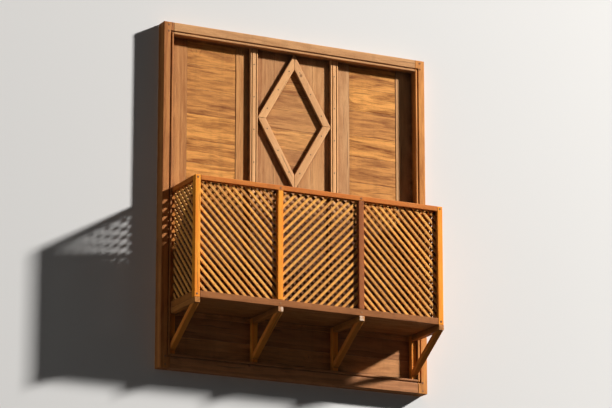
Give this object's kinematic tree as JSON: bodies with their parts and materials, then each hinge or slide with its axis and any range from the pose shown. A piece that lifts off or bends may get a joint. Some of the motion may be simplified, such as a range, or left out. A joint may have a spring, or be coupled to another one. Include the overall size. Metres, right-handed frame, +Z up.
{
  "type": "mashrabiya window screen",
  "caption": "Timber casing with full-height leaves and a diamond of battens, and a projecting lattice box on diagonal brackets, open at the top.",
  "frame": {"origin": "middle of the flat back face of the casing, at the level of the top of the box floor", "axes": "+Z up, +Y into the wall, +X to the right seen from the street"},
  "size_m": [2.2, 0.504, 2.615],
  "materials": {
    "frame_wood": "planed timber, oiled, pinkish tan with worn edges",
    "leaf_wood": "planed boards, oiled, warm orange tan with wavy grain",
    "lattice_wood": "sawn slats, varnished, golden orange",
    "shaded_wood": "rough timber, weathered brown"
  },
  "bodies": {
    "root": {"apron_boards": "shaded_wood", "bearer_1": "shaded_wood", "bearer_2": "shaded_wood", "bearer_3": "shaded_wood", "bearer_4": "shaded_wood", "bottom_rail": "shaded_wood", "centre_leaf_boards": "leaf_wood", "diamond_batten_lower_left": "frame_wood", "diamond_batten_lower_right": "frame_wood", "diamond_batten_upper_left": "frame_wood", "diamond_batten_upper_right": "frame_wood", "diamond_panel": "leaf_wood", "floor_boards": "shaded_wood", "floor_transom": "shaded_wood", "front_bottom_rail": "frame_wood", "front_posts": "frame_wood", "front_top_rail": "frame_wood", "head_rail": "frame_wood", "lattice_front_centre": "lattice_wood", "lattice_front_left": "lattice_wood", "lattice_front_right": "lattice_wood", "lattice_left_side": "lattice_wood", "lattice_right_side": "lattice_wood", "left_bottom_rail": "frame_wood", "left_corner_post": "frame_wood", "left_cover_batten": "frame_wood", "left_jamb": "frame_wood", "left_leaf_boards": "leaf_wood", "left_leaf_stiles": "leaf_wood", "left_top_rail": "frame_wood", "right_bottom_rail": "frame_wood", "right_corner_post": "frame_wood", "right_cover_batten": "frame_wood", "right_jamb": "frame_wood", "right_leaf_boards": "leaf_wood", "right_leaf_stiles": "leaf_wood", "right_top_rail": "frame_wood", "strut_1": "shaded_wood", "strut_2": "shaded_wood", "strut_3": "shaded_wood", "strut_4": "shaded_wood", "wall_post_1": "shaded_wood", "wall_post_2": "shaded_wood", "wall_post_3": "shaded_wood", "wall_post_4": "shaded_wood"}
  },
  "joints": []
}
